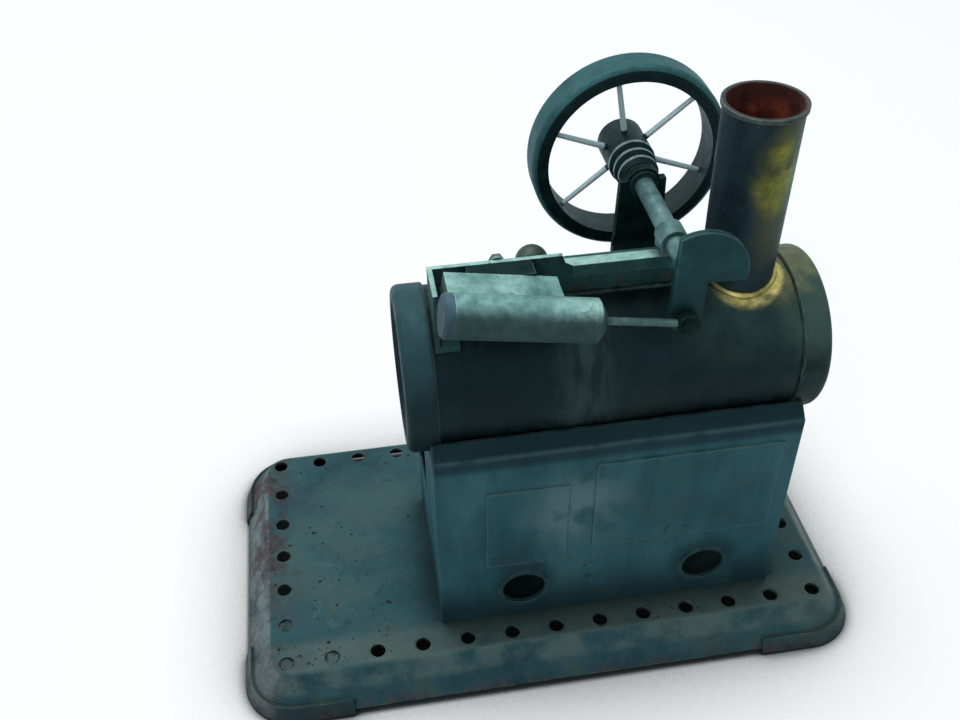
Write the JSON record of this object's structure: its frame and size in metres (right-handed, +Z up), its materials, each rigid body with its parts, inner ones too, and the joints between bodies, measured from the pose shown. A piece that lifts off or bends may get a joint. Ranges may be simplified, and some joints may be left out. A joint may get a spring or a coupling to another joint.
{
  "type": "toy stationary steam engine",
  "caption": "Toy stationary steam engine: sheet firebox and horizontal boiler on a pressed base with edge holes, oscillating cylinder, overhead crankshaft, spoked flywheel and tall chimney.",
  "frame": {"origin": "centre of the base's footprint, on the surface it stands on", "axes": "+X along the boiler towards the chimney, +Y across the base towards the flywheel, +Z up"},
  "size_m": [0.1778, 0.0998, 0.155],
  "materials": {
    "base_paint": "worn grey-green enamel with rust",
    "firebox_paint": "dull dark blue-green enamel",
    "boiler_brass": "blackened, with bare brass showing in places",
    "chimney_metal": "dark and tarnished, red-brown inside",
    "lip_metal": "worn, dull",
    "frame_paint": "chipped dark green enamel",
    "bush_brass": "tarnished",
    "wheel_metal": "dull grey, oiled",
    "bright_steel": "worn bright",
    "cylinder_metal": "dull pale plated metal, oily"
  },
  "bodies": {
    "engine_body": {"base_plate": "base_paint", "firebox_front": "firebox_paint", "firebox_back": "firebox_paint", "firebox_left_end": "firebox_paint", "firebox_right_end": "firebox_paint", "boiler_barrel": "boiler_brass", "boiler_left_cap": "boiler_brass", "boiler_right_cap": "boiler_brass", "chimney_tube": "chimney_metal", "chimney_lip": "lip_metal", "engine_frame": "frame_paint", "front_bearing": "cylinder_metal", "rear_bearing": "frame_paint", "rear_bush": "bush_brass", "steam_block": "frame_paint", "safety_valve_body": "bush_brass", "safety_valve_cap": "bush_brass"},
    "crank": {"crankshaft": "bright_steel", "crank_web": "wheel_metal", "crank_pin": "bright_steel", "flywheel": "wheel_metal", "drive_pulley": "wheel_metal"},
    "cylinder": {"cylinder_barrel": "cylinder_metal", "cylinder_cover": "cylinder_metal", "cylinder_gland": "cylinder_metal", "port_block": "cylinder_metal", "pivot_pin": "bright_steel", "pivot_washer": "bright_steel", "pivot_nut": "bush_brass"},
    "rod": {"piston": "bush_brass", "piston_rod": "bright_steel", "rod_eye": "wheel_metal"}
  },
  "joints": [
    {"name": "crank_spin", "type": "hinge", "parent": "engine_body", "child": "crank", "pos_m": [0.0296, 0, 0.1237], "axis": [0, 1, 0], "continuous": true},
    {"name": "cylinder_swing", "type": "hinge", "parent": "engine_body", "child": "cylinder", "pos_m": [-0.012, -0.031, 0.1191], "axis": [0, -1, 0], "range_deg": [-0.1, 32.6]},
    {"name": "rod_slide", "type": "slide", "parent": "cylinder", "child": "rod", "axis": [0.9851, 0, -0.172], "range_m": [-0.0117, 0.0118]}
  ]
}
